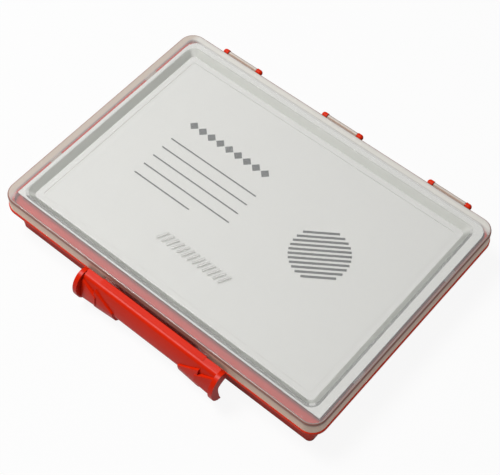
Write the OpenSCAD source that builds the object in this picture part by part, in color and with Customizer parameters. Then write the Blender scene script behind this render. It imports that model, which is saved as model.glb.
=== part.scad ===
// Flat plastic case for pocket knives: a red tub, a frosted lid on three hinges and a swinging grip
// that closes over the lid. Millimetres, +Z up, +Y to the hinges, the grip in front at -Y.
// The origin is the centre of the underside, below the centre of the lid.

/* [Case] */
// Width of the lid, left to right
case_w = 218; // [190:1:260]
// Depth of the lid, front to back, without grip and hinges
case_d = 155.5; // [140:0.5:200]
// Height of the closed case
case_h = 30; // [28:0.5:40]
// Outer radius of the lid's upright corners
corner_r = 8.6; // [7:0.1:12]

/* [Lid] */
// Height of the lid's side wall above the underside of the catch ledge
lid_side_h = 7; // [7:0.1:9]
// How far the side wall reaches down past the underside of the catch ledge
lid_below = 1.7; // [1:0.1:2]
// Thickness of the lid's side wall
lid_wall = 1.4; // [1:0.1:1.8]
// Thickness of the lid's top
lid_top_t = 1.2; // [0.8:0.1:1.4]
// Radius of the rounded edge between the lid's top and its side wall
lid_edge_r = 0.9; // [0.4:0.1:1.2]
// Width of the flat border round the sunk panel
border_w = 9; // [7:0.5:14]
// Depth of the sunk panel below the border
panel_depth = 3; // [1.5:0.1:3.3]
// Width of the slope between border and panel, seen from above
slope_w = 3.3; // [1.5:0.1:5]
// Corner radius of the panel at the foot of its slope
panel_r = 2.5; // [1:0.5:5]
// Distance from the foot of the slope to the fine inner step
inner_step_in = 3.6; // [2:0.1:8]
// Height of the fine inner step
inner_step_h = 0.25; // [0.1:0.05:0.5]
// Gap between the lid's lower edge and the rim it closes on
seam_gap = 0.2; // [0.1:0.05:0.5]
// How far the catch ledge stands out of the lid's front wall
catch_out = 2.3; // [1.8:0.1:2.6]
// Thickness of the catch ledge
catch_t = 0.7; // [0.6:0.1:1]
// How much shorter than the grip's lip the catch ledge is, at each end
catch_short = 1.5; // [0.5:0.5:8]
// Depth of the recess in the lid's wall that the lip reaches into
catch_recess = 0.7; // [0.4:0.1:0.8]

/* [Card] */
// Width of the printed card under the lid
card_w = 210; // [170:1:212]
// Thickness of the card
card_t = 0.6; // [0.3:0.1:0.9]
// Distance from the case front to the card's front edge
card_front_in = 8.2; // [5:0.1:20]
// Gap between the card's back edge and the lid's back wall
card_back_gap = 0.5; // [0.3:0.1:3]
// Size of each small tab that holds the card up, along the wall
tab_len = 8; // [5:1:14]
// How far each tab reaches in under the card
tab_grip = 1.4; // [0.8:0.1:3]
// Thickness of each tab
tab_t = 0.8; // [0.6:0.1:1]

/* [Base] */
// How far the base's rim stands out past the lid all round
rim_out = 0.5; // [0.2:0.1:1]
// Height of the rim's outer edge
rim_h = 1.5; // [1.4:0.1:2]
// Thickness of the base's walls
base_wall = 1.8; // [1.2:0.1:2.4]
// Thickness of the ledge between rim and tub
ledge_t = 1.5; // [1.4:0.1:2]
// Thickness of the floor
floor_t = 1.8; // [1.2:0.1:2.6]
// How far the outer front wall is set back from the lid's front
front_wall_in = 5.1; // [4.6:0.1:6]
// How far the tub's own front wall is set back, behind a hollow that is open below
tub_in_front = 11.2; // [11:0.1:13]
// How far the tub's side walls are set in at the top
tub_in_side = 3.9; // [3.6:0.1:6]
// How far the tub's back wall is set in at the top
tub_in_back = 5; // [4.5:0.5:8]
// How much further in the tub's side and back walls stand at the floor
draft = 2; // [0.5:0.1:3]
// Upright corner radius of the tub
tub_r = 3; // [2.6:0.1:5]
// Height of the bead that centres the lid
bead_h = 2.8; // [1:0.1:3]
// Thickness of that bead
bead_t = 1.2; // [0.8:0.1:1.6]
// Gap between the bead and the lid's wall
bead_gap = 0.35; // [0.2:0.05:0.6]

/* [Hinges] */
// Distance from the lid's side to the middle of the nearest hinge
hinge_in = 34.7; // [30:0.1:48]
// Distance between the middles of the two knuckles of one hinge
knuckle_pitch = 25.3; // [18:0.1:34]
// Length of one knuckle with its rounded end
knuckle_len = 3.8; // [3.4:0.1:5]
// Radius of the knuckles
knuckle_r = 1.8; // [1.7:0.05:2]
// Radius of the lid's barrel between the knuckles
barrel_r = 1.4; // [1.3:0.05:1.6]
// Distance from the lid's back wall to the hinge axis
axis_back = 6.2; // [5.8:0.1:7.5]
// Depth of the hinge axis below the underside of the catch ledge
axis_down = 1.5; // [1.3:0.1:1.8]
// Radius of a hinge pin
hinge_pin_r = 0.6; // [0.5:0.05:0.8]
// Gap between barrel and knuckles, end to end
hinge_end_gap = 0.4; // [0.3:0.05:0.8]
// Play round the pins in their bores
pin_play = 0.04; // [0.02:0.01:0.08]

/* [Grip] */
// Length of the grip over its end cheeks
grip_len = 97.4; // [92:0.2:120]
// How far the grip's middle lies right of the case's middle
grip_x = 4.5; // [-4:0.1:5]
// How far the grip's belly stands out of the lid's front
grip_out = 9.3; // [9:0.1:12]
// Radius of the ridge along the grip's upper edge
ridge_r = 2.7; // [2.4:0.1:3.6]
// Radius of the grip's nearly flat belly
belly_r = 40; // [30:1:60]
// How far the end cheeks stand out past the belly
cheek_proud = 3.7; // [3:0.1:5]
// Thickness of the end cheeks along the grip
cheek_t = 2.7; // [2:0.1:4]
// Wall thickness of the grip
grip_wall = 2; // [1.6:0.1:2.2]
// Gap between the tip of the grip's lip and the lid's front wall
lip_gap = 0.8; // [0.6:0.1:1.2]
// Thickness of the lip that closes over the catch ledge
lip_t = 1.1; // [1:0.1:1.5]
// Gap between the lip and the catch ledge below it
lip_play = 0.2; // [0.15:0.05:0.4]
// How much shorter than the grip the lip is, at each end
lip_short = 13; // [8:0.5:20]
// Height of the grip's pivot above the table
pivot_z = 6.2; // [6:0.1:6.6]
// Distance from the lid's front to the grip's pivot
pivot_out = 3.4; // [3.2:0.1:3.6]
// Radius of the lugs and ribs round the pivot
boss_r = 2.2; // [2:0.1:2.3]
// Radius of a pivot pin
pivot_pin_r = 1; // [0.8:0.05:1.2]
// Distance from the grip's end to the outer face of a lug
lug_in = 9.5; // [9:0.1:12]
// Thickness of a lug on the base
lug_t = 3; // [2:0.1:4]
// Thickness of the grip's ribs at the pivot
rib_t = 2.2; // [1.6:0.1:2.4]
// Side gap on each face of a lug
lug_gap = 0.4; // [0.3:0.05:0.6]
// Angle by which the grip swings open
grip_swing = 35; // [20:5:40]
// Height by which a scale stands off the belly at its inner end
scale_t = 1.3; // [0.8:0.1:1.8]

/* [Foam] */
// Columns of knife places
knife_cols = 2; // [1:1:2]
// Rows of knife places
knife_rows = 3; // [2:1:4]
// Foam left between the end of a knife place and the end of the foam
place_end = 4.3; // [3:0.1:7]
// Width of a knife place
place_w = 27; // [22:0.5:28]
// Corner radius of a knife place
place_r = 10; // [4:0.5:11]
// Diameter of the finger cut beside a knife place
finger_d = 18; // [12:0.5:24]
// How far a finger cut reaches past the side of its place
finger_out = 5; // [3:0.5:5]
// Thickness of the plain foam sheet under the knives
foam_back_t = 4; // [2:0.5:6]
// Gap between the foam and the tub's walls
foam_gap = 0.5; // [0.3:0.1:1.5]
// Gap between the top of the foam and the rim
foam_down = 0.3; // [0.2:0.1:2]

/* [Hidden] */
$fn = 64;
eps = 0.01;

// Colours of the pieces
base_red = [0.78, 0.09, 0.06];
grip_red = [0.86, 0.1, 0.06];
frosted = [0.86, 0.86, 0.84, 0.55];
paper_white = [0.94, 0.94, 0.93];
foam_grey = [0.2, 0.2, 0.21];
steel = [0.72, 0.72, 0.74];

half_w = case_w / 2;
half_d = case_d / 2;
front_y = -half_d;
back_y = half_d;

// Heights
hook_z = case_h - lid_side_h;
lid_low_z = hook_z - lid_below;
rim_z = lid_low_z - seam_gap;
ledge_low_z = rim_z - ledge_t;
panel_z = case_h - panel_depth;
under_panel_z = panel_z - lid_top_t;
card_z = under_panel_z - card_t;
bead_top_z = min(rim_z + bead_h, card_z - tab_t - 0.3);

// Hinges
hinge_y = back_y + axis_back;
hinge_z = hook_z - axis_down;
hinge_xs = [-half_w + hinge_in, 0, half_w - hinge_in];
barrel_len = knuckle_pitch - knuckle_len - 2 * hinge_end_gap;
bore_deep = knuckle_len - knuckle_r;
web_t = 1.5;

// Grip, drawn in its own section plane: u outwards from the lid's front, v upwards. Three arcs that run
// into each other make its outer line: ridge, belly and chin, each with its centre and its lower angle
grip_top = hook_z + catch_t + lip_play + lip_t;
chin_r = 6;
chin_u = grip_out - chin_r;
chin_v = grip_top - 12.5;
chin_a = -18;
belly_a = 7;
belly_u = chin_u - (belly_r - chin_r) * cos(belly_a);
belly_v = chin_v - (belly_r - chin_r) * sin(belly_a);
ridge_v = grip_top - 0.3 - ridge_r;
ridge_a = asin((ridge_v - belly_v) / (belly_r - ridge_r));
ridge_u = belly_u + (belly_r - ridge_r) * cos(ridge_a);
heel_v = grip_top - 15.9;
heel_u = grip_out - 0.9;
ankle_v = 5.2;
ankle_u = grip_out - 2.4;
foot_v = 3;
foot_u = grip_out - 3.9;
cheek_out = grip_out + cheek_proud;
cheek_a = 8;
cheek_low_v = foot_v + 0.8;
cheek_b = (grip_top + 0.4 - cheek_low_v) / 2;
cheek_x = grip_len / 2 - cheek_t;
lip_x = grip_len / 2 - lip_short;
lug_x = grip_len / 2 - lug_in - lug_t;
rib_in_x = lug_x - lug_gap - rib_t;
rib_out_x = lug_x + lug_t + lug_gap;
slot_gap = 0.3;
pivot_pin_len = 2 * rib_t + 2 * lug_gap + lug_t - 0.4;
lug_rise = 9.5;

scale_down = 0.5;
slice_t = 0.1;

// Scales near each end of the grip: inner and outer end along the grip, height of the upper edge at the
// inner end and its rise for each millimetre outwards, then how far the scale stands off the bar's lower
// part and off its belly, first at the inner end and then at the outer one
scales = [[lip_x - 12.6, lip_x + 0.5, grip_top - 11.2, 0.6,
           scale_t, 0.7 * scale_t, 1.6 * scale_t, scale_t],
          [lip_x - 0.9, cheek_x - slice_t, grip_top - 7.3, 0.46,
           1.25 * scale_t, 1.35 * scale_t, 1.65 * scale_t, 0.7 * scale_t]];

// Foam
foam_low_z = floor_t + foam_back_t;
foam_x = half_w - tub_in_side - draft - base_wall - foam_gap;
foam_y0 = front_y + tub_in_front + base_wall + foam_gap;
foam_y1 = back_y - tub_in_back - draft - base_wall - foam_gap;
foam_r = max(1, tub_r - base_wall - foam_gap);
place_l = 2 * foam_x / knife_cols - 2 * place_end;

// Points on an arc about (u, v)
function arc(u, v, r, a0, a1, n = 12) =
    [for (i = [0 : n]) [u + r * cos(a0 + (a1 - a0) * i / n), v + r * sin(a0 + (a1 - a0) * i / n)]];

// Rectangle with rounded corners between two opposite corners
module plan(x0, x1, y0, y1, r) {
    translate([x0 + r, y0]) square([x1 - x0 - 2 * r, y1 - y0]);
    translate([x0, y0 + r]) square([x1 - x0, y1 - y0 - 2 * r]);
    for (x = [x0 + r, x1 - r], y = [y0 + r, y1 - r]) translate([x, y]) circle(r);
}

// Plate with that outline, drawn in from the lid's outline by a margin at the sides, front and back
module plate(side, front, back, r, z0, z1) {
    translate([0, 0, z0]) linear_extrude(z1 - z0)
        plan(-half_w + side, half_w - side, front_y + front, back_y - back, r);
}

// Cylinder along X, starting at x
module rod(x, y, z, r, len) {
    translate([x, y, z]) rotate([0, 90, 0]) cylinder(r = r, h = len);
}

// Piece of the grip's section, extruded along X from x over a length
module section(x, len, points) {
    translate([grip_x + x, front_y, 0]) rotate([90, 0, 90]) linear_extrude(len)
        polygon([for (p = points) [-p[0], p[1]]]);
}

// Frosted lid: side wall, border and sunk panel, with the catch ledge and the hinge barrels
module lid() {
    color(frosted) difference() {
        union() {
            difference() {
                lid_outside();
                lid_inside();
                lip_recess();
            }
            panel_slab();
            lid_catch();
            card_tabs();
            for (x = hinge_xs) lid_barrel(x);
        }
        panel_recess();
        inner_step();
        for (x = hinge_xs)
            rod(x - barrel_len, hinge_y, hinge_z, hinge_pin_r + pin_play, 2 * barrel_len);
    }
}

module lid_outside() {
    hull() {
        plate(0, 0, 0, corner_r, lid_low_z, case_h - lid_edge_r);
        for (a = [30, 60, 90]) {
            in = lid_edge_r * (1 - cos(a));
            z = case_h - lid_edge_r + lid_edge_r * sin(a);
            plate(in, in, in, corner_r - in, z - eps, z);
        }
    }
}

module lid_inside() {
    plate(lid_wall, lid_wall, lid_wall, corner_r - lid_wall, lid_low_z - 1, case_h - lid_top_t);
}

// The panel's own thickness below its slope and floor
module panel_slab() {
    top_in = border_w - lid_top_t;
    low_in = border_w + slope_w - lid_top_t / 2;
    hull() {
        plate(top_in, top_in, top_in, panel_r + slope_w, case_h - lid_top_t - eps, case_h - lid_top_t / 2);
        plate(low_in, low_in, low_in, panel_r + lid_top_t / 2, under_panel_z, under_panel_z + eps);
    }
}

module panel_recess() {
    low_in = border_w + slope_w;
    hull() {
        plate(border_w, border_w, border_w, panel_r + slope_w, case_h, case_h + 1);
        plate(low_in, low_in, low_in, panel_r, panel_z, panel_z + eps);
    }
}

// The middle of the panel lies a little lower inside the fine step
module inner_step() {
    in = border_w + slope_w + inner_step_in;
    plate(in, in, in, panel_r / 2, panel_z - inner_step_h, panel_z + 1);
}

module lip_recess() {
    low = hook_z + catch_t / 2;
    high = grip_top + 0.6;
    section(-lip_x - 0.4, 2 * lip_x + 0.8,
        [[-catch_recess, low], [1, low], [1, high], [-catch_recess, high]]);
}

module lid_catch() {
    len = 2 * (lip_x - catch_short);
    section(-len / 2, len, [[-lid_wall / 2, hook_z], [catch_out, hook_z],
        [catch_out, hook_z + catch_t - 0.3], [catch_out - 0.3, hook_z + catch_t],
        [-lid_wall / 2, hook_z + catch_t]]);
}

// Tabs on the side walls that hold the card against the panel
module card_tabs() {
    reach = half_w - card_w / 2 + tab_grip;
    for (s = [-1, 1], y = [-case_d / 4, case_d / 4])
        translate([s > 0 ? half_w - reach : -half_w + lid_wall / 2, y - tab_len / 2, card_z - tab_t])
            cube([reach - lid_wall / 2, tab_len, tab_t]);
}

// Barrel and the web that carries it: over the rim, then low enough to leave a dark gap seen from above
module lid_barrel(x) {
    rod(x - barrel_len / 2, hinge_y, hinge_z, barrel_r, barrel_len);
    over = rim_out + 0.4;
    translate([x - barrel_len / 2, back_y, 0]) rotate([90, 0, 90]) linear_extrude(barrel_len) polygon([
        [-lid_wall / 2, hook_z], [over, hook_z], [over + 0.4, hinge_z - 0.6],
        [axis_back, hinge_z - 0.8], [axis_back, hinge_z + 0.6], [over + web_t + 0.7, hinge_z + 0.7],
        [over + web_t, hook_z + web_t], [-lid_wall / 2, hook_z + web_t]]);
}

// Printed card under the panel: square corners in front, round ones behind to fit the lid's corners
module card() {
    y0 = front_y + card_front_in;
    y1 = back_y - lid_wall - card_back_gap;
    r = corner_r - lid_wall;
    color(paper_white) translate([0, 0, card_z]) linear_extrude(card_t) {
        translate([-card_w / 2, y0]) square([card_w, y1 - y0 - r]);
        plan(-card_w / 2, card_w / 2, y0, y1, r);
    }
}

// Red base: tub with a hollow front, ledge with rim, centring bead, hinge knuckles and the lugs for the grip
module base() {
    color(base_red) difference() {
        union() {
            rim_ledge();
            tub_outside();
            centring_bead();
            for (x = hinge_xs, s = [-1, 1]) knuckle(x, s);
            for (s = [-1, 1]) pivot_lug(s);
        }
        tub_inside();
        front_hollow();
        for (x = hinge_xs)
            rod(x - knuckle_pitch / 2 + knuckle_len / 2 - bore_deep, hinge_y, hinge_z,
                hinge_pin_r + pin_play, knuckle_pitch - knuckle_len + 2 * bore_deep);
        for (s = [-1, 1])
            rod(grip_x + s * (lug_x + lug_t / 2) - lug_t, front_y - pivot_out, pivot_z,
                pivot_pin_r + pin_play, 2 * lug_t);
    }
}

module rim_ledge() {
    difference() {
        plate(-rim_out, -rim_out, -rim_out, corner_r + rim_out, rim_z - max(rim_h, ledge_t), rim_z);
        if (rim_h > ledge_t + eps)
            plate(base_wall, base_wall, base_wall, corner_r - base_wall, rim_z - rim_h - 1, ledge_low_z);
    }
}

module tub_outside() {
    hull() {
        plate(tub_in_side, front_wall_in, tub_in_back, tub_r, rim_z - 1, rim_z - eps);
        plate(tub_in_side + draft, front_wall_in, tub_in_back + draft, tub_r, 0, eps);
    }
}

module tub_inside() {
    w = base_wall;
    hull() {
        plate(tub_in_side + w, tub_in_front + w, tub_in_back + w, tub_r - w, rim_z, rim_z + 1);
        plate(tub_in_side + draft + w, tub_in_front + w, tub_in_back + draft + w, tub_r - w,
              floor_t, floor_t + eps);
    }
}

// Hollow between the outer front wall and the tub's own front wall, open below
module front_hollow() {
    x = half_w - tub_in_side - draft - base_wall;
    y = front_y + front_wall_in + base_wall;
    translate([-x, y, -1]) cube([2 * x, front_y + tub_in_front - y, ledge_low_z + 1]);
}

// Low bead all round that centres the lid
module centring_bead() {
    a = lid_wall + bead_gap;
    b = a + bead_t;
    difference() {
        plate(a, a, a, corner_r - a, rim_z - eps, bead_top_z);
        plate(b, b, b, corner_r - b, rim_z - 1, bead_top_z + 1);
    }
}

// One knuckle with its rounded outer end, on an arm from the rim
module knuckle(x, s) {
    inner = x + s * (knuckle_pitch - knuckle_len) / 2;
    translate([inner, hinge_y, hinge_z]) rotate([0, 90 * s, 0]) {
        cylinder(r = knuckle_r, h = knuckle_len - knuckle_r);
        translate([0, 0, knuckle_len - knuckle_r]) sphere(knuckle_r);
    }
    translate([s > 0 ? inner : inner - knuckle_len + knuckle_r, back_y, 0])
        rotate([90, 0, 90]) linear_extrude(knuckle_len - knuckle_r) polygon([
            [-1, rim_z - rim_h], [rim_out + 0.5, rim_z - rim_h], [axis_back, hinge_z - knuckle_r],
            [axis_back, hinge_z + knuckle_r], [axis_back - 1.5, rim_z], [-1, rim_z]]);
}

// Bracket on the outer front wall that ends in a lug round the pivot
module pivot_lug(s) {
    x = s > 0 ? lug_x : -lug_x - lug_t;
    wall_u = -front_wall_in - base_wall / 2;
    section(x, lug_t, concat([[wall_u, pivot_z - boss_r]],
        arc(pivot_out, pivot_z, boss_r, -90, 50), [[wall_u, pivot_z + lug_rise]]));
}

// Swinging grip: a bowed bar with a lip over the lid's catch, end cheeks, raised scales and ribs
module grip() {
    color(grip_red) difference() {
        union() {
            section(-cheek_x - eps, 2 * cheek_x + 2 * eps, bar_section());
            section(-lip_x, 2 * lip_x, lip_section());
            for (s = [-1, 1]) {
                section(s > 0 ? cheek_x : -grip_len / 2, cheek_t, cheek_section());
                section(s > 0 ? rib_in_x : -rib_in_x - rib_t, rib_t, rib_section());
                section(s > 0 ? rib_out_x : -rib_out_x - rib_t, rib_t, rib_section());
                for (c = scales) grip_scale(s, c);
            }
        }
        for (s = [-1, 1]) {
            rod(grip_x + (s > 0 ? rib_in_x : -rib_out_x - rib_t) - 1, front_y - pivot_out, pivot_z,
                pivot_pin_r + pin_play, rib_out_x + rib_t - rib_in_x + 2);
            lug_slot(s);
            end_relief(s);
        }
    }
}

// Room for a lug, and for its bracket as it passes under the foot of the opening grip
module lug_slot(s) {
    r = boss_r + slot_gap;
    a = grip_swing + 2 - 90;
    x = s > 0 ? lug_x - lug_gap : -lug_x - lug_t - lug_gap;
    section(x, lug_t + 2 * lug_gap, concat(arc(pivot_out, pivot_z, r, a, 180), [[-3, pivot_z], [-3, -3],
        [pivot_out + r * cos(a) + 9 * cos(a - 90), pivot_z + r * sin(a) - 9 * cos(a)]]));
}

// Ridge, belly and chin from the top downwards, moved outwards by d
function belly_line(d) = concat(arc(ridge_u, ridge_v, ridge_r + d, 80, ridge_a, 8),
    arc(belly_u, belly_v, belly_r + d, ridge_a - 1.5, belly_a + 1.5, 6),
    arc(chin_u, chin_v, chin_r + d, belly_a, chin_a, 4));

// The same points from the last to the first
function upwards(points) = [for (i = [1 : len(points)]) points[len(points) - i]];

// Outer line of the bar, from its top to its foot, moved out by g at the lower part and by b at the belly
function bar_outer(g = 0, b = 0) = concat(belly_line(b), [[heel_u + 1.05 * g, heel_v - 0.2 * g],
    [ankle_u + g, ankle_v - 0.4 * g], [foot_u + 0.8 * g, foot_v + 0.1]]);

// Middle line of the bar's wall, from the foot to the top
function bar_middle() = concat([[foot_u - 0.6, foot_v + 0.8], [ankle_u - grip_wall / 2, ankle_v + 0.5],
    [heel_u - grip_wall / 2, heel_v + 0.4]], upwards(belly_line(-grip_wall / 2)));

function bar_section() = concat([[lip_gap + 0.8, grip_top - 0.1]], bar_outer(),
    [[foot_u - 1.5, foot_v + 1.4], [ankle_u - grip_wall, ankle_v + 0.8],
     [heel_u - grip_wall, heel_v + 0.6]], upwards(belly_line(-grip_wall)),
    [[ridge_u - 0.1, grip_top - lip_t], [lip_gap + 0.8, grip_top - lip_t]]);

function lip_section() = [[lip_gap, grip_top - 0.4], [lip_gap + 0.4, grip_top], [ridge_u, grip_top - 0.1],
    [ridge_u, grip_top - lip_t], [lip_gap, grip_top - lip_t]];

// Crescent of the end cheek
function cheek_section() = concat([[lip_gap + 0.4, grip_top - 1.4]],
    [for (t = [110 : -8 : -74])
        [cheek_out - cheek_a * (1 - cos(t)), cheek_low_v + cheek_b * (1 + sin(t))]],
    [[foot_u + 0.9, cheek_low_v]], cheek_inner());

// Inner edge of the cheek, upwards from its foot
function cheek_inner() = [[foot_u + 0.9, foot_v + 1.2], [ankle_u + 0.3, ankle_v + 2.8],
    [grip_out - 1.6, grip_top - 12.6], [grip_out - 1.5, grip_top - 10], [grip_out - 2, grip_top - 8.1],
    [grip_out - 3.8, grip_top - 6.9], [lip_gap + 1, grip_top - 5.6], [lip_gap + 0.4, grip_top - 4.8]];

function rib_section() = concat(arc(pivot_out, pivot_z, boss_r, 160, 290), bar_middle(),
    [[ridge_u + 1, grip_top - 10]]);

// Raised scale on the belly: its upper edge falls towards the middle, and it thickens towards the grip's end
module grip_scale(s, c) {
    top = grip_top - scale_down;
    difference() {
        hull() {
            scale_slice(s, c[0], c[4], c[5], min(top, c[2]));
            scale_slice(s, c[1], c[6], c[7], min(top, c[2] + c[3] * (c[1] - c[0])));
        }
        section(-grip_len / 2, grip_len, concat([[-1, foot_v - 1]], bar_middle(), [[-1, grip_top]]));
    }
}

// Thin slice of a scale, cut off level at its top
module scale_slice(s, x, low, belly, top) {
    section(s * x - slice_t / 2, slice_t,
        [for (p = concat(bar_outer(low, belly), bar_middle())) [p[0], min(p[1], top)]]);
}

// The bar's wall behind a cheek ends where the cheek's inner edge does
module end_relief(s) {
    x = rib_out_x + rib_t;
    len = cheek_x - x + eps;
    section(s > 0 ? x : -x - len, len, concat([[-1, foot_v - 1], [foot_u + 0.9, foot_v - 1]],
        cheek_inner(), [[-1, grip_top - 4.8]]));
}

// Foam with a cut-out for each knife, standing on a plain foam sheet
module foam_tray() {
    color(foam_grey) difference() {
        translate([0, 0, foam_low_z]) linear_extrude(rim_z - foam_down - foam_low_z)
            plan(-foam_x, foam_x, foam_y0, foam_y1, foam_r);
        for (i = [0 : knife_cols - 1], j = [0 : knife_rows - 1]) knife_place(i, j);
    }
}

module knife_place(i, j) {
    x = (i + 0.5 - knife_cols / 2) * 2 * foam_x / knife_cols;
    y = foam_y0 + (j + 0.5) * (foam_y1 - foam_y0) / knife_rows;
    translate([x, y, foam_low_z - 1]) linear_extrude(case_h) {
        plan(-place_l / 2, place_l / 2, -place_w / 2, place_w / 2, place_r);
        translate([0, place_w / 2 + finger_out - finger_d / 2]) circle(d = finger_d);
    }
}

module foam_sheet() {
    color(foam_grey) translate([0, 0, floor_t]) linear_extrude(foam_back_t)
        plan(-foam_x, foam_x, foam_y0, foam_y1, foam_r);
}

module hinge_pin(x) {
    len = knuckle_pitch - knuckle_len + 2 * bore_deep - 2 * hinge_end_gap;
    color(steel) rod(x - len / 2, hinge_y, hinge_z, hinge_pin_r, len);
}

module grip_pin(s) {
    x = s > 0 ? rib_in_x + 0.2 : -rib_out_x - rib_t + 0.2;
    color(steel) rod(grip_x + x, front_y - pivot_out, pivot_z, pivot_pin_r, pivot_pin_len);
}

base();
lid();
card();
foam_tray();
foam_sheet();
grip();
hinge_pin(hinge_xs[0]);  // hinge_pin_left
hinge_pin(hinge_xs[1]);  // hinge_pin_middle
hinge_pin(hinge_xs[2]);  // hinge_pin_right
grip_pin(-1);  // grip_pin_left
grip_pin(1);  // grip_pin_right
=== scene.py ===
# %% [markdown]
# A flat case for pocket knives: a red tub, a frosted lid on three hinges, a printed card under the lid,
# foam inside, and a swinging grip in front that closes over the lid.
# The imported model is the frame: it holds every part at its place, in metres. The parts could be drawn
# again here, but then every size would live in two places and drift apart. So the script starts from
# the frame and takes its sizes and places from there.

# %% Load the frame
import math
import bmesh
import bpy
import numpy as np
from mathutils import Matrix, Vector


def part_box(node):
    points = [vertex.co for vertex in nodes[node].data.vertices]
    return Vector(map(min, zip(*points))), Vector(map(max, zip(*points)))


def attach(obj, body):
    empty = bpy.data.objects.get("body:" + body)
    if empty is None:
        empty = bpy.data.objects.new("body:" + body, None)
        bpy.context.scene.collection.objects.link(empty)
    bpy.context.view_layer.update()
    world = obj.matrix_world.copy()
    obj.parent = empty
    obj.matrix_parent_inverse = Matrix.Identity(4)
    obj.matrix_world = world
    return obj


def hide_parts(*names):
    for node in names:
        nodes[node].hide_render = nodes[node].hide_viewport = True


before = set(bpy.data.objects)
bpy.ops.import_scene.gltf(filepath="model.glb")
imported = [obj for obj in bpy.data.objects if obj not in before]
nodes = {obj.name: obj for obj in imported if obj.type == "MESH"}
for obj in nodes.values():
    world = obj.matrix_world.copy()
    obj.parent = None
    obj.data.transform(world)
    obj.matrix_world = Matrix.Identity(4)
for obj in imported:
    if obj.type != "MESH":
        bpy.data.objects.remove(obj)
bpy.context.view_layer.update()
scene = bpy.context.scene
MM = 0.001
print("nodes:", ", ".join(sorted(nodes)))

# %% [markdown]
# The camera comes first, because it decides which surfaces matter most. It could be turned by hand until
# the picture looks right, but its place can also be worked out from the outline of the lid in the
# photograph, and that holds everywhere at once. It looks down at 56 degrees over the right front corner,
# through a long lens, so the far edge is hardly shorter than the near one.

# %% Camera
CAMERA_AT = np.array([255.06, -299.69, 597.33]) * MM
AZIMUTH, ELEVATION = math.radians(40.18), math.radians(56.47)
LENS, SENSOR = 92.66, 36.0  # millimetres, as on a real camera
NEAREST_SEEN = 50 * MM

camera_data = bpy.data.cameras.new("camera")
camera_data.lens = LENS
camera_data.sensor_width = SENSOR
camera_data.sensor_fit = "HORIZONTAL"
camera_data.clip_start = NEAREST_SEEN
camera = bpy.data.objects.new("camera", camera_data)
scene.collection.objects.link(camera)
camera.location = CAMERA_AT
camera.rotation_euler = (math.pi / 2 - ELEVATION, 0.0, AZIMUTH)
scene.camera = camera
print("camera is", round(float(np.linalg.norm(CAMERA_AT)), 3), "m from the case")

# %% [markdown]
# Every piece of the case belongs to one of three bodies that move against each other: tub, lid or grip.
# A piece could be parented by hand and given its finish later, and then one is soon forgotten. A helper
# that makes a piece and names its body in one call, and a second that gives it its finish, leave less out.

# %% A piece on its body
def add_piece(name, mesh, body):
    """Puts a mesh into the scene as a piece that rides on a body."""
    piece = bpy.data.objects.new(name, mesh)
    scene.collection.objects.link(piece)
    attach(piece, body)
    return piece


def paint(piece, material):
    """Gives a piece or a CAD node one material."""
    piece.data.materials.clear()
    piece.data.materials.append(material)


# %% [markdown]
# Most of a moulded case is flat walls with small rounded edges. The frame already has the walls, as
# loose triangles. New walls could be worked out here, but a copy of the frame's mesh keeps every size.
# Its corners are welded and its flat regions become single faces, because a bevel needs clean edges.

# %% A welded copy of a part
WELD = 0.001 * MM  # corners closer than this become one
FLAT = math.radians(0.4)  # faces that meet at less than this become one


def welded_mesh(part, name):
    """A copy of a CAD node's mesh, with its corners welded and its flat regions joined."""
    mesh = nodes[part].data.copy()
    mesh.name = name
    mesh.materials.clear()
    work = bmesh.new()
    work.from_mesh(mesh)
    bmesh.ops.remove_doubles(work, verts=work.verts, dist=WELD)
    bmesh.ops.dissolve_limit(work, angle_limit=FLAT, verts=work.verts, edges=work.edges)
    work.to_mesh(mesh)
    work.free()
    return mesh


# %% [markdown]
# A mould leaves no edge quite sharp, and the soft line of light along an edge is what makes plastic look
# moulded. A shader can fake that line, but only a real bevel also goes out with the mesh. The bevel stays
# narrow, so sizes hold. Normals are then weighted by face area, so that the large flat faces shade flat
# and only the bevels shade round.

# %% A part with rounded edges
SHARP = math.radians(35.0)  # an edge that turns by more than this is rounded
LARGE_FACES_FIRST = 90  # from 1 to 100, where 50 counts all faces alike


def apply_modifiers(piece, name):
    """Makes what a piece's modifiers show its real mesh."""
    shown = piece.evaluated_get(bpy.context.evaluated_depsgraph_get())
    applied = bpy.data.meshes.new_from_object(shown)
    piece.modifiers.clear()
    piece.data = applied
    applied.name = name


def rounded_copy(part, name, body, bevel, segments=2):
    """Stands for a CAD node: its welded mesh, with every edge over SHARP rounded by bevel metres."""
    piece = add_piece(name, welded_mesh(part, name), body)
    rounding = piece.modifiers.new("edge rounding", "BEVEL")
    rounding.width = bevel
    rounding.segments = segments
    rounding.limit_method = "ANGLE"
    rounding.angle_limit = SHARP
    rounding.use_clamp_overlap = True
    apply_modifiers(piece, name)
    piece.data.shade_smooth()
    piece.data.set_sharp_from_angle(angle=SHARP)
    even = piece.modifiers.new("even shading", "WEIGHTED_NORMAL")
    even.weight = LARGE_FACES_FIRST
    even.keep_sharp = True
    apply_modifiers(piece, name)
    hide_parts(part)
    print(name, "has", len(piece.data.polygons), "faces")
    return piece


# %% [markdown]
# Every finish here is a node material: patterns on Object coordinates, a Principled shader and a bump.
# Nodes could be placed by hand in the shader editor, but in a script the same few steps come back in
# each finish. One helper makes a node and joins it, and short helpers name the steps used most.

# %% Helpers for materials
def new_material(name):
    """A node material with its Principled shader and an Object coordinate output."""
    material = bpy.data.materials.new(name)
    material.use_nodes = True
    tree = material.node_tree
    shader = tree.nodes["Principled BSDF"]
    place = tree.nodes.new("ShaderNodeTexCoord").outputs["Object"]
    return material, tree, shader, place


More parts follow.
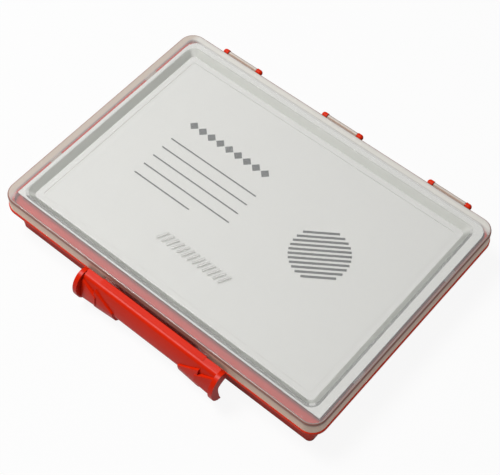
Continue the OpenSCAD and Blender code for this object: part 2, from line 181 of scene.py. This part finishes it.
def node(tree, kind, inputs=None, **settings):
    """One shader node of a kind, with its settings, and its inputs set or linked."""
    made = tree.nodes.new("ShaderNode" + kind)
    for key, value in settings.items():
        setattr(made, key, value)
    for key, value in (inputs or {}).items():
        if isinstance(value, bpy.types.NodeSocket):
            tree.links.new(value, made.inputs[key])
        else:
            made.inputs[key].default_value = value
    return made


def srgb(r, g, b):
    """A colour from 0 to 255 as the eye sees it, turned into the linear values that shaders use."""
    c = np.array([r, g, b]) / 255.0
    linear = np.where(c <= 0.04045, c / 12.92, ((c + 0.055) / 1.055) ** 2.4)
    return (*linear.tolist(), 1.0)


# %% [markdown]
# A pattern is a value at each point, from 0 to 1. Most finishes start from a cloudy noise, do some
# arithmetic on it or on a point's place, and slide one range of values onto another. Written out as
# nodes, each of these steps takes three lines, so each gets a short name.

# %% Helpers for patterns
def noise(tree, place, scale, detail):
    """A cloudy pattern of values round a half, with scale clouds to the metre."""
    return node(tree, "TexNoise", {"Vector": place, "Scale": scale, "Detail": detail}).outputs["Fac"]


def maths(tree, operation, *values):
    """The result of one step of arithmetic on one or two values."""
    return node(tree, "Math", dict(enumerate(values)), operation=operation).outputs[0]


def vector_maths(tree, operation, *values):
    """One step of arithmetic on one or two vectors, as its node."""
    return node(tree, "VectorMath", dict(enumerate(values)), operation=operation)


def slide(tree, value, start, end, first=0.0, last=1.0):
    """Goes evenly from first to last while value goes from start to end, and stays level outside."""
    limits = {"From Min": start, "From Max": end, "To Min": first, "To Max": last}
    return node(tree, "MapRange", {"Value": value, **limits}).outputs["Result"]


# %% [markdown]
# A pattern then becomes a colour, by blending two or by reading it off a scale, or a bump. A bump only
# tilts the light and moves nothing, which is right for a skin finer than a tenth of a millimetre.

# %% Helpers for colour and bump
def blended(tree, share, first, second):
    """A colour that goes from the first to the second as share goes from 0 to 1."""
    return node(tree, "Mix", {"Factor": share, "A": first, "B": second}, data_type="RGBA").outputs[2]


def colour_scale(tree, value, *stops):
    """A colour read off a scale: each stop is a value and its colour from 0 to 255, lowest first."""
    made = node(tree, "ValToRGB", {"Fac": value})
    elements = made.color_ramp.elements
    elements[0].position, elements[1].position = stops[0][0], stops[-1][0]
    elements[0].color, elements[1].color = srgb(*stops[0][1]), srgb(*stops[-1][1])
    for at, colour in stops[1:-1]:
        elements.new(at).color = srgb(*colour)
    return made.outputs["Color"]


def add_bump(tree, shader, height, strength, depth):
    """Lets a pattern tilt the light on a surface as if it were depth metres deep."""
    bump = node(tree, "Bump", {"Height": height, "Strength": strength, "Distance": depth})
    tree.links.new(bump.outputs["Normal"], shader.inputs["Normal"])


def face_normal(tree):
    """The direction a face points in, on the object's own axes."""
    return tree.nodes["Texture Coordinate"].outputs["Normal"]


def parts_of(tree, vector):
    """A vector's X, Y and Z."""
    return node(tree, "SeparateXYZ", {"Vector": vector}).outputs


# %% [markdown]
# The tub and the grip are moulded in the same glossy red plastic. One flat red would do from far off,
# but a real moulding isn't one even colour. So a slow cloud blends two near reds, a fine orange-peel
# skin breaks the highlights, and the gloss is uneven, as where hands rub.

# %% Red plastic
CLOUDS, RUBBED, ORANGE_PEEL = 35.0, 120.0, 900.0  # patterns to the metre
GLOSSIER, DULLER = 0.06, 0.08
PLASTIC_IOR = 1.46


def red_plastic(name, colour, dark, roughness, shine):
    """Glossy moulded plastic: two near colours in a slow cloud, a fine orange-peel bump, uneven gloss."""
    material, tree, shader, place = new_material(name)
    tint = blended(tree, noise(tree, place, CLOUDS, detail=3.0), srgb(*dark), srgb(*colour))
    tree.links.new(tint, shader.inputs["Base Color"])
    wear = noise(tree, place, RUBBED, detail=4.0)
    gloss = slide(tree, wear, 0.0, 1.0, roughness - GLOSSIER, roughness + DULLER)
    tree.links.new(gloss, shader.inputs["Roughness"])
    add_bump(tree, shader, noise(tree, place, ORANGE_PEEL, detail=2.0), strength=0.08, depth=0.4 * MM)
    shader.inputs["IOR"].default_value = PLASTIC_IOR
    shader.inputs["Specular IOR Level"].default_value = shine
    return material


base_plastic = red_plastic(
    "red plastic of the tub", colour=(204, 42, 4), dark=(191, 34, 3), roughness=0.4, shine=0.09
)
grip_plastic = red_plastic(
    "red plastic of the grip", colour=(200, 34, 1), dark=(189, 27, 1), roughness=0.33, shine=0.13
)
print("finishes:", base_plastic.name, "and", grip_plastic.name)

# %% [markdown]
# The frosted lid looks different from place to place: clear on its level faces, milky on its side wall,
# where the eye meets far more plastic. Two materials on two sets of faces could show that, but their
# border would be a hard line on the rounded edge. So one material works out where it is. Its main
# measure is the reach: how far a point lies outside the rectangle through the centres of the corners.
# It equals the corner radius all along the outline of the lid, and is smaller inside.

# %% Where a point lies on the lid
lid_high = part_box("lid")[1]
LID_HALF_X, LID_TOP = lid_high[0], lid_high[2]
LID_HALF_Y, LID_CORNER = 77.75 * MM, 8.6 * MM  # the lid's box also holds its barrels and its ledge
LID_LOW = LID_TOP - 8.7 * MM  # the lower edge of the side wall
ABOVE_ALL = 1.0  # higher than any point of the lid, so that height leaves nothing over
OUTER_BAND = (LID_CORNER - 3.2 * MM, LID_CORNER - 2.4 * MM)
ALMOST_LEVEL = (0.95, 0.997)
print("lid is", [round(2 * half / MM, 1) for half in (LID_HALF_X, LID_HALF_Y)], "mm")


def corner_reach(tree, place):
    """The length of what is left of (|x|, |y|) above the corner's centre, each part at least 0."""
    folded = vector_maths(tree, "ABSOLUTE", place).outputs[0]
    centre = (LID_HALF_X - LID_CORNER, LID_HALF_Y - LID_CORNER, ABOVE_ALL)
    past = vector_maths(tree, "SUBTRACT", folded, centre).outputs[0]
    outside = vector_maths(tree, "MAXIMUM", past, (0.0, 0.0, 0.0)).outputs[0]
    return vector_maths(tree, "LENGTH", outside).outputs["Value"]


def wall_share(tree, reach, steep):
    """1 on the side wall and 0 elsewhere: close to the outline, and not on a level face."""
    near = slide(tree, reach, *OUTER_BAND)
    upright = slide(tree, steep, *ALMOST_LEVEL, 1.0, 0.0)
    return maths(tree, "MULTIPLY", near, upright)


# %% [markdown]
# From outside, the wall is warm and pale below, painted light where the red rim and the light floor shine
# through, and dark at its upper rounded edge, painted shade. Rays traced through thin rough plastic give
# that too, but only with a very large number of samples. Colours on a scale of height give it at once. Its
# inner side is almost white, painted light where lamp light comes through the wall, and the barrels behind
# it, at the hinges, are darker. A face belongs to the outer side where it points away from the middle of
# the case, so that its place and its direction agree.

# %% Painted light and shade on the lid's wall
# painted light low on the wall and on its inner side, painted shade at its upper rounded edge
WALL_LIGHT_AND_SHADE = (0.0, (248, 224, 203)), (0.7, (222, 194, 174)), (0.9, (138, 96, 86))  # upwards
INNER_SIDE_LIGHT, BARREL_COLOUR = (254, 247, 238), (172, 148, 130)
INSIDE_TO_OUTSIDE = (-10 * MM, 10 * MM)
BEHIND_WALL = (LID_HALF_Y, LID_HALF_Y + 0.5 * MM)


def wall_light_and_shade(tree, place, at):
    """Painted light and shade: a colour by height on the outer side, a pale painted light inside, and a
    darker colour on the barrels.
    """
    outer = colour_scale(tree, slide(tree, at["Z"], LID_LOW, LID_TOP), *WALL_LIGHT_AND_SHADE)
    outward = vector_maths(tree, "DOT_PRODUCT", place, face_normal(tree)).outputs["Value"]
    inner = slide(tree, outward, *INSIDE_TO_OUTSIDE, 1.0, 0.0)
    with_inner_light = blended(tree, inner, outer, srgb(*INNER_SIDE_LIGHT))
    return blended(tree, slide(tree, at["Y"], *BEHIND_WALL), with_inner_light, srgb(*BARREL_COLOUR))


# %% [markdown]
# Level faces are nearly white, slopes are greyer as painted shade, and slopes that face the front are
# paler, as painted light where they catch more light. One colour for the whole top would lose the groove
# round the panel, so the painted shade follows how level each face is.

# %% Painted shade and light on the lid's top
# painted shade: greyer on slopes; painted light: paler on slopes that face the front
TOP_SHADE_COLOURS = (0.1, (224, 208, 194)), (0.75, (198, 200, 195)), (0.97, (252, 252, 251))  # steep to level
FRONT_SLOPE_LIGHT = (228, 229, 224)
FACING_FRONT = (-0.55, -0.25)


def top_shade_and_light(tree, steep, facing):
    """Painted shade by how level the face is, and painted light, a paler colour, on slopes that face the
    front.
    """
    tint = colour_scale(tree, steep, *TOP_SHADE_COLOURS)
    forward = slide(tree, facing["Y"], *FACING_FRONT, 1.0, 0.0)
    return blended(tree, forward, tint, srgb(*FRONT_SLOPE_LIGHT))


# %% [markdown]
# Along the left side and the back, between the groove and the wall, the camera looks through the top at
# the inner side of the wall. Much of the light is scattered on that long way, so a strip there is made
# hazier than the rest of the top. Its pale colours are painted light, for lamp light that comes through
# the wall, and it is warmer on the left, where the lamp stands.

# %% The hazy strip
STRIP_BAND = (LID_CORNER - 5.4 * MM, LID_CORNER - 3.6 * MM)
STRIP_FADE = (4 * MM, 8 * MM)  # distances from the outline over which the strip ends
# painted light: pale colours for lamp light through the wall, warmer on the left
STRIP_BACK_LIGHT, STRIP_LEFT_LIGHT = (238, 236, 230), (220, 208, 197)


def hazy_strip(tree, reach, at):
    """The share of the strip, 1 at the left side and the back near the outline, and its colour, which is
    painted light.
    """
    near, far = STRIP_FADE
    left = slide(tree, at["X"], near - LID_HALF_X, far - LID_HALF_X, 1.0, 0.0)
    back = slide(tree, at["Y"], LID_HALF_Y - far, LID_HALF_Y - near)
    either = maths(tree, "MAXIMUM", left, back)
    share = maths(tree, "MULTIPLY", either, slide(tree, reach, *STRIP_BAND))
    return share, blended(tree, left, srgb(*STRIP_BACK_LIGHT), srgb(*STRIP_LEFT_LIGHT))


# %% [markdown]
# Behind the grip, the lid's front wall gets little light, and that light is red, so the wall looks dark
# and reddish, most of all low down and in the middle. The lamps alone don't show it, because light goes
# straight through the lid here. So a patch of the lid's colour is darker there, and fades at its edges.

# %% The darker patch behind the grip
grip_low, grip_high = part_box("grip")
PATCH_X = (grip_low[0] + grip_high[0]) / 2
PATCH_ENDS = (26.2 * MM, 39.2 * MM)  # it fades between these distances from its middle
PATCH_TOP = (26.0 * MM, 30.5 * MM)  # and between these heights
FRONT_WALL = (-76.6 * MM, -76.2 * MM)
PATCH_COLOUR = (104, 38, 30)


def grip_patch(tree, at):
    """1 on the lower front wall behind the grip, 0 elsewhere."""
    front = slide(tree, at["Y"], *FRONT_WALL, 1.0, 0.0)
    aside = maths(tree, "ABSOLUTE", maths(tree, "SUBTRACT", at["X"], PATCH_X))
    middle = slide(tree, aside, *PATCH_ENDS, 1.0, 0.0)
    lower = slide(tree, at["Z"], *PATCH_TOP, 1.0, 0.0)
    return maths(tree, "MULTIPLY", maths(tree, "MULTIPLY", front, middle), lower)


# %% [markdown]
# What the camera sees through the lid is a rough transmission, which blurs the card and the red rim a
# little. Light from the lamps would come through such plastic as a scatter of bright dots, because
# few rays find a lamp. So lamp light that arrives from outside, and light bounced off the card, goes
# straight through with a slight loss, and all below the lid is lit evenly. A ray that has gone in
# through one face and not yet out of the next has crossed an odd number of faces.

# %% Light that passes straight
STRAIGHT_COLOUR = (231, 231, 230)


def straight_share(tree):
    """1 for a bounced ray, and for a shadow ray after an even number of crossed faces. Otherwise 0."""
    rays = node(tree, "LightPath").outputs
    odd = maths(tree, "MODULO", rays["Transmission Depth"], 2.0)
    lamp = maths(tree, "MULTIPLY", rays["Is Shadow Ray"], maths(tree, "SUBTRACT", 1.0, odd))
    return maths(tree, "MAXIMUM", lamp, rays["Is Diffuse Ray"])


# %% [markdown]
# The finish itself puts these together. A sheet of milk-white plastic would hide the card, and clear
# glass would show it too sharply. The real lid lies between: its skin is etched, so light is spread by
# roughness and by a very fine bump. The outer face of the top is smoother than the rest.

# %% Frosted plastic
ETCHING, FROST_CLOUDS = 1600.0, 60.0  # patterns to the metre
FROST_LOW, FROST_HIGH, SMOOTH_TOP = 0.4, 0.5, 0.26
LOOKING_UP, SLOPING = (0.9, 0.99), (0.3, 0.9)
MILKY, HAZY, OPEN = 0.15, 0.45, 0.875  # shares of light let through
FROSTED_SHINE = 0.3


def frosted_roughness(tree, place, facing):
    """A slow cloud of roughness, cut to about a quarter on faces that look straight up."""
    cloud = noise(tree, place, FROST_CLOUDS, detail=3.0)
    frost = slide(tree, cloud, 0.0, 1.0, FROST_LOW, FROST_HIGH)
    return maths(tree, "MULTIPLY", frost, slide(tree, facing["Z"], *LOOKING_UP, 1.0, SMOOTH_TOP))


def frosted_plastic():
    """Rough transmission: open on level faces, hazy on slopes and on the strip, milky on the wall."""
    material, tree, shader, place = new_material("frosted plastic of the lid")
    at, facing = parts_of(tree, place), parts_of(tree, face_normal(tree))
    steep = maths(tree, "ABSOLUTE", facing["Z"])
    reach = corner_reach(tree, place)
    wall = wall_share(tree, reach, steep)
    strip, strip_light = hazy_strip(tree, reach, at)
    top = blended(tree, strip, top_shade_and_light(tree, steep, facing), strip_light)
    sides = blended(tree, wall, top, wall_light_and_shade(tree, place, at))
    colour = blended(tree, grip_patch(tree, at), sides, srgb(*PATCH_COLOUR))
    tree.links.new(colour, shader.inputs["Base Color"])
    tree.links.new(frosted_roughness(tree, place, facing), shader.inputs["Roughness"])
    add_bump(tree, shader, noise(tree, place, ETCHING, detail=2.0), strength=0.06, depth=0.2 * MM)
    clear = slide(tree, steep, *SLOPING, HAZY, OPEN)
    hazed = node(tree, "Mix", {"Factor": strip, "A": clear, "B": HAZY}).outputs[0]
    passing = node(tree, "Mix", {"Factor": wall, "A": hazed, "B": MILKY}).outputs[0]
    tree.links.new(passing, shader.inputs["Transmission Weight"])
    shader.inputs["IOR"].default_value = PLASTIC_IOR
    shader.inputs["Specular IOR Level"].default_value = FROSTED_SHINE
    straight = node(tree, "BsdfTransparent", {"Color": srgb(*STRAIGHT_COLOUR)}).outputs[0]
    either = node(tree, "MixShader", {0: straight_share(tree), 1: shader.outputs[0], 2: straight})
    tree.links.new(either.outputs[0], tree.nodes["Material Output"].inputs["Surface"])
    return material


lid_plastic = frosted_plastic()
print("the lid's finish has", len(lid_plastic.node_tree.nodes), "nodes")

# %% [markdown]
# The card is matt white paper with a little fibre in it. Plain white would turn into a blank area without
# a surface, so the fibre makes a faint tint and a faint bump. Its underside shows when the lid lies open
# and faces the lamp, and real board is greyer there.

# %% Paper
FIBRE = 700.0
FACING_DOWN = (-0.9, -0.5)
BOARD_COLOUR, PAPER_ROUGHNESS = (208, 208, 205), 0.8


def paper():
    """Matt white card with a greyer underside: a fine fibre as tint and bump."""
    material, tree, shader, place = new_material("white card")
    fibre = noise(tree, place, FIBRE, detail=5.0)
    tone = blended(tree, fibre, srgb(232, 232, 230), srgb(242, 242, 240))
    under = slide(tree, parts_of(tree, face_normal(tree))["Z"], *FACING_DOWN, 1.0, 0.0)
    tree.links.new(blended(tree, under, tone, srgb(*BOARD_COLOUR)), shader.inputs["Base Color"])
    add_bump(tree, shader, fibre, strength=0.1, depth=0.2 * MM)
    shader.inputs["Roughness"].default_value = PAPER_ROUGHNESS
    return material


card_paper = paper()
print("finish:", card_paper.name)

# %% [markdown]
# The foam has small open pores. Real holes would need millions of faces, so cells from a Voronoi pattern,
# about a millimetre across, give each pore its dent, and a darker middle that is painted shade in the
# hole.

# %% Foam
PORES = 900.0
FOAM_ROUGHNESS = 0.95


def foam():
    """Dark foam: the distance from the middle of a cell sets the bump, and the tone, darker in the middle
    as painted shade.
    """
    material, tree, shader, place = new_material("dark grey foam")
    cells = node(tree, "TexVoronoi", {"Vector": place, "Scale": PORES}).outputs["Distance"]
    # painted shade: each pore is darker in its middle
    tree.links.new(blended(tree, cells, srgb(36, 36, 38), srgb(62, 62, 65)), shader.inputs["Base Color"])
    add_bump(tree, shader, cells, strength=0.6, depth=0.5 * MM)
    shader.inputs["Roughness"].default_value = FOAM_ROUGHNESS
    return material


tray_foam = foam()
print("finish:", tray_foam.name)

# %% [markdown]
# The pins of hinges and grip are turned steel. A turning tool leaves fine rings, and they could be cut
# into the mesh, but at this size a wave pattern along the pin, used as bump, is enough.

# %% Steel
TURNING_RINGS = 1500.0
STEEL_COLOUR, STEEL_ROUGHNESS = (190, 190, 194), 0.32


def steel():
    """Turned steel: thin rings along the pin as bump."""
    material, tree, shader, place = new_material("steel of the pins")
    rings = {"Vector": place, "Scale": TURNING_RINGS, "Distortion": 0.5}
    turned = node(tree, "TexWave", rings, bands_direction="X").outputs["Fac"]
    add_bump(tree, shader, turned, strength=0.2, depth=0.1 * MM)
    shader.inputs["Base Color"].default_value = srgb(*STEEL_COLOUR)
    shader.inputs["Metallic"].default_value = 1.0
    shader.inputs["Roughness"].default_value = STEEL_ROUGHNESS
    return material


pin_steel = steel()
print("finish:", pin_steel.name)

# %% [markdown]
# Tub, lid and grip are the three big mouldings. Their walls, ribs, knuckles and ledges are all in the
# frame, so each needs only its rounded edges. The grip is handled most and has the softest edges, so
# its bevels have one more segment.

# %% Tub, lid and grip
tub = rounded_copy("base", "tub", "base_body", bevel=0.25 * MM)
paint(tub, base_plastic)
lid = rounded_copy("lid", "frosted_lid", "lid_body", bevel=0.3 * MM)
paint(lid, lid_plastic)
grip = rounded_copy("grip", "swing_grip", "grip_body", bevel=0.3 * MM, segments=3)
paint(grip, grip_plastic)

# %% [markdown]
# The printed card is a sheet of paper under the lid's panel, square in front and rounded behind. A thin
# box would do for a square sheet. For two kinds of corners it is easier to work out the outline as an
# array of points, lay it at two heights and close what lies between.

# %% A sheet from its outline
def outline(x0, x1, y0, y1, radii, steps=12):
    """Points round a rectangle, counter-clockwise from the front right: each corner is a quarter circle,
    its centre plus its radius times the cosine and sine of an angle that turns by 90 degrees."""
    centres = np.array([[x1, y0], [x1, y1], [x0, y1], [x0, y0]])
    inward = np.array([[-1, 1], [-1, -1], [1, -1], [1, 1]])
    radii = np.array(radii, float)
    turn = np.radians(np.array([-90, 0, 90, 180])[:, None] + np.linspace(0, 90, steps)[None, :])
    middle = centres + inward * radii[:, None]
    points = middle[:, None, :] + radii[:, None, None] * np.stack([np.cos(turn), np.sin(turn)], -1)
    return points.reshape(-1, 2)


def lifted(points, z):
    """An outline lifted to a height."""
    return np.column_stack([points, np.full(len(points), z)])


def stacked(name, rings):
    """A closed surface through rings of equal length, bottom first: quads between neighbours, and one
    face at each end."""
    rings = np.asarray(rings)
    count, length = rings.shape[:2]
    mesh = bpy.data.meshes.new(name)
    i = np.arange(count - 1)[:, None] * length
    j = np.arange(length)[None, :]
    k = (j + 1) % length
    quads = np.stack([i + j, i + k, i + length + k, i + length + j], -1).reshape(-1, 4)
    ends = [list(range(length))[::-1], list(range((count - 1) * length, count * length))]
    mesh.from_pydata(rings.reshape(-1, 3), [], quads.tolist() + ends)
    return mesh


# %% [markdown]
# The sheet takes its sizes from the frame's card. Its upper face lies a hair's breadth under the panel,
# because two faces in one place can't be lit.

# %% Card
CARD_DROP = 0.12 * MM
FRONT_CORNER, BACK_CORNER = 0.3 * MM, 7.2 * MM

card_low, card_high = (np.array(c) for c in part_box("card"))
card_corners = [FRONT_CORNER, BACK_CORNER, BACK_CORNER, FRONT_CORNER]
card_outline = outline(card_low[0], card_high[0], card_low[1], card_high[1], card_corners)
card_rings = [lifted(card_outline, card_low[2]), lifted(card_outline, card_high[2] - CARD_DROP)]
card = add_piece("card_sheet", stacked("card_sheet", card_rings), "lid_body")
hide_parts("card")
paint(card, card_paper)
print("card is", np.round((card_high - card_low) / MM, 1), "mm")

# %% [markdown]
# Ink has almost no thickness. It could be part of the paper's material, as a pattern of shares, but such
# patterns get soft edges when they are baked. So each mark is a prism a few hundredths of a millimetre
# high in the gap between card and panel, and all marks are made in one array.

# %% Flat marks as prisms
def prisms(name, corners, z0, z1):
    """Upright prisms from an array of polygons (count, corners, 2): each polygon at z0 and at z1, with
    quads between."""
    corners = np.asarray(corners, float)
    count, k = corners.shape[:2]
    low_ring = np.concatenate([corners, np.full((count, k, 1), z0)], -1)
    high_ring = np.concatenate([corners, np.full((count, k, 1), z1)], -1)
    points = np.stack([low_ring, high_ring], 1).reshape(-1, 3)
    start = np.arange(count)[:, None] * 2 * k
    i = np.arange(k)[None, :]
    j = (i + 1) % k
    sides = np.stack([start + i, start + j, start + k + j, start + k + i], -1).reshape(-1, 4)
    ends = np.concatenate([start + k - 1 - i, start + k + i]).reshape(-1, k)
    mesh = bpy.data.meshes.new(name)
    mesh.from_pydata(points, [], sides.tolist() + ends.tolist())
    return mesh


# %% Lozenges and bars
def lozenges(centres, half):
    """Four-cornered diamonds: each centre plus and minus half along X and along Y."""
    shape = np.array([[0, -half], [half, 0], [0, half], [-half, 0]])
    return np.asarray(centres)[:, None, :] + shape[None]


def axes_at(degrees):
    """Two directions at right angles: the first is turned by degrees from the X axis."""
    a = math.radians(degrees)
    return np.array([math.cos(a), math.sin(a)]), np.array([-math.sin(a), math.cos(a)])


def bars(starts, lengths, thick, degrees=0.0):
    """Thin bars at one angle: from each start by its length along, and half of thick to either side."""
    along, across = axes_at(degrees)
    starts, lengths = np.asarray(starts, float), np.asarray(lengths, float)
    ends = starts + lengths[:, None] * along
    half = across * thick / 2
    return np.stack([starts - half, ends - half, ends + half, starts + half], 1)


# %% [markdown]
# The print is plain: a row of lozenges, five rules to write on, and a disc hatched with slanted bars. Each
# bar of the disc is a chord: at a distance d from the middle it reaches the square root of R² - d² to
# either side.

# %% Places of the printed marks
LOZENGE_COUNT, LOZENGE_FROM, LOZENGE_TO, LOZENGE_Y = 9, -62 * MM, -10 * MM, 27 * MM
LOZENGE_HALF = 3.0 * MM
RULE_COUNT, RULE_X, RULE_TOP, RULE_PITCH = 5, -66 * MM, 12 * MM, 7.5 * MM
RULE_LENGTH, LAST_RULE_LENGTH, RULE_THICK = 62 * MM, 40 * MM, 0.9 * MM
DISC_AT, DISC_R = np.array([46, 5]) * MM, 17 * MM
HATCH_PITCH, HATCH_THICK, HATCH_LEAN = 2.8 * MM, 1.5 * MM, 35.0

row_x = np.linspace(LOZENGE_FROM, LOZENGE_TO, LOZENGE_COUNT)
row = np.column_stack([row_x, np.full(LOZENGE_COUNT, LOZENGE_Y)])
rule_y = RULE_TOP - RULE_PITCH * np.arange(RULE_COUNT)
rule_starts = np.column_stack([np.full(RULE_COUNT, RULE_X), rule_y])
rule_lengths = np.append(np.full(RULE_COUNT - 1, RULE_LENGTH), LAST_RULE_LENGTH)
hatch_along, hatch_across = axes_at(HATCH_LEAN)
offsets = np.arange(-DISC_R + HATCH_PITCH, DISC_R - HATCH_PITCH / 2, HATCH_PITCH)
half_chord = np.sqrt(DISC_R**2 - offsets**2)
hatch_starts = DISC_AT + offsets[:, None] * hatch_across - half_chord[:, None] * hatch_along
print("the disc has", len(offsets), "bars")

# %% [markdown]
# Printing ink on board is never quite even, because the fibre takes it up unevenly. A slight mottle of
# two dark greys shows that better than one flat grey.

# %% Ink
INK_MOTTLE, INK_ROUGHNESS = 500.0, 0.7


def ink():
    """Flat dark grey print with a slight mottle."""
    material, tree, shader, place = new_material("dark grey ink")
    mottle = noise(tree, place, INK_MOTTLE, detail=3.0)
    tree.links.new(blended(tree, mottle, srgb(52, 55, 56), srgb(66, 69, 70)), shader.inputs["Base Color"])
    shader.inputs["Roughness"].default_value = INK_ROUGHNESS
    return material


# %% Print on the card
INK_LOW, INK_HIGH = card_high[2] - 0.1 * MM, card_high[2] - 0.06 * MM
print_shapes = np.concatenate([
    lozenges(row, LOZENGE_HALF),
    bars(rule_starts, rule_lengths, RULE_THICK),
    bars(hatch_starts, 2 * half_chord, HATCH_THICK, HATCH_LEAN),
])
ink_mesh = prisms("card_print", print_shapes, INK_LOW, INK_HIGH)
card_print = add_piece("card_print", ink_mesh, "lid_body")
paint(card_print, ink())
print("printed marks:", len(print_shapes))

# %% [markdown]
# A row of short slanted ribs is moulded on the front of the panel, in the lid's own plastic. They could
# be a bump, but a raised edge bends the light that passes through, and only a real shape does that. They
# start just inside the panel, so that no gap is left below them.

# %% Raised ribs on the lid
PANEL_BELOW_TOP = 3.25 * MM
RIB_FROM, RIB_TO, RIB_PITCH, RIB_Y = -27 * MM, 18 * MM, 3.6 * MM, -43 * MM
RIB_LENGTH, RIB_THICK, RIB_LEAN = 7.5 * MM, 1.3 * MM, 62.0
RIB_SUNK, RIB_HEIGHT = 0.02 * MM, 0.3 * MM

panel_z = LID_TOP - PANEL_BELOW_TOP
rib_x = np.arange(RIB_FROM, RIB_TO, RIB_PITCH)
rib_starts = np.column_stack([rib_x, np.full(len(rib_x), RIB_Y)])
rib_shapes = bars(rib_starts, np.full(len(rib_x), RIB_LENGTH), RIB_THICK, RIB_LEAN)
ribs_mesh = prisms("raised_ribs", rib_shapes, panel_z - RIB_SUNK, panel_z + RIB_HEIGHT)
ribs = add_piece("raised_ribs", ribs_mesh, "lid_body")
paint(ribs, lid_plastic)
print("ribs:", len(rib_x))

# %% [markdown]
# The insert with its six knife places is cut from stiff foam, and a plain sheet of the same foam lies
# under it. A soft cushion would be swelled by a cloth simulation, but cut foam keeps flat faces and
# only slightly rounded edges, so a wide bevel says it better.

# %% Foam insert and bottom sheet
tray = rounded_copy("foam_tray", "foam_insert", "base_body", bevel=0.7 * MM, segments=3)
paint(tray, tray_foam)
sheet = rounded_copy("foam_sheet", "foam_bottom", "base_body", bevel=0.5 * MM)
paint(sheet, tray_foam)

# %% [markdown]
# The five pins are plain round rods in blind holes. Their shape in the frame is already right, so they
# stay as they are and only get the steel.

# %% Pins
pins = [name for name in nodes if "pin" in name]
for name in pins:
    paint(nodes[name], pin_steel)
print("pins:", len(pins))

# %% [markdown]
# The case stands on a plain pale floor. A floor lit to pure white would need so much light that the case
# would burn out. So the floor glows to the camera, and dimly to reflections, and is a matt grey to all
# other light. The small share of matt grey that the camera still sees carries the shadow.

# %% Floor
FLOOR_HALF = 3.0  # metres
FLOOR_GREY = 0.55  # the share of light that it gives back
SHARE_IN_VIEW, SHARE_IN_REFLECTION = 0.92, 0.45


def plain_floor():
    """A white floor that keeps part of its shadow: mostly white to the camera, grey to the light."""
    mesh = bpy.data.meshes.new("floor")
    h = FLOOR_HALF
    mesh.from_pydata([(-h, -h, 0), (h, -h, 0), (h, h, 0), (-h, h, 0)], [], [(0, 1, 2, 3)])
    floor = bpy.data.objects.new("floor", mesh)
    scene.collection.objects.link(floor)
    material = bpy.data.materials.new("pale floor")
    material.use_nodes = True
    tree = material.node_tree
    tree.nodes.clear()
    rays = node(tree, "LightPath").outputs
    matt = node(tree, "BsdfDiffuse", {"Color": (FLOOR_GREY, FLOOR_GREY, FLOOR_GREY, 1)}).outputs[0]
    white = node(tree, "Emission", {"Color": (1, 1, 1, 1), "Strength": 1.0}).outputs[0]
    mirrored = maths(tree, "ADD", rays["Is Glossy Ray"], rays["Is Transmission Ray"])
    dimmed = maths(tree, "MULTIPLY", mirrored, SHARE_IN_REFLECTION)
    share = maths(tree, "MAXIMUM", maths(tree, "MULTIPLY", rays["Is Camera Ray"], SHARE_IN_VIEW), dimmed)
    mix = node(tree, "MixShader", {0: share, 1: matt, 2: white})
    node(tree, "OutputMaterial", {"Surface": mix.outputs[0]})
    paint(floor, material)
    return floor


plain_floor()
print("floor is", 2 * FLOOR_HALF, "m wide")

# %% [markdown]
# One large soft light from above on the left gives the highlights and the shadow, and a weak even light
# all round fills the rest. Several lamps are usual in a studio, but one is easier to set, and it gives a
# single soft shadow. The view is Standard, so that colours come out as they are written.

# %% Light
KEY_AT, KEY_SIZE, KEY_POWER = (-0.5, -0.2, 1.2), 0.5, 22.0  # metres, metres, watts
EVEN_LIGHT = 0.17


def soft_light(name, at, size, power):
    """A square area light of a size in metres, turned to look at the origin."""
    data = bpy.data.lights.new(name, "AREA")
    data.size = size
    data.energy = power
    light = bpy.data.objects.new(name, data)
    scene.collection.objects.link(light)
    light.location = at
    aim = -np.array(at)
    tilt, turn = math.acos(-aim[2] / np.linalg.norm(aim)), math.atan2(aim[1], aim[0]) - math.pi / 2
    light.rotation_euler = (tilt, 0.0, turn)
    return light


soft_light("key softbox", KEY_AT, KEY_SIZE, KEY_POWER)
world = bpy.data.worlds.new("studio")
scene.world = world
world.use_nodes = True
world.node_tree.nodes["Background"].inputs["Color"].default_value = (1, 1, 1, 1)
world.node_tree.nodes["Background"].inputs["Strength"].default_value = EVEN_LIGHT
scene.view_settings.view_transform = "Standard"
print("key light:", KEY_POWER, "W")
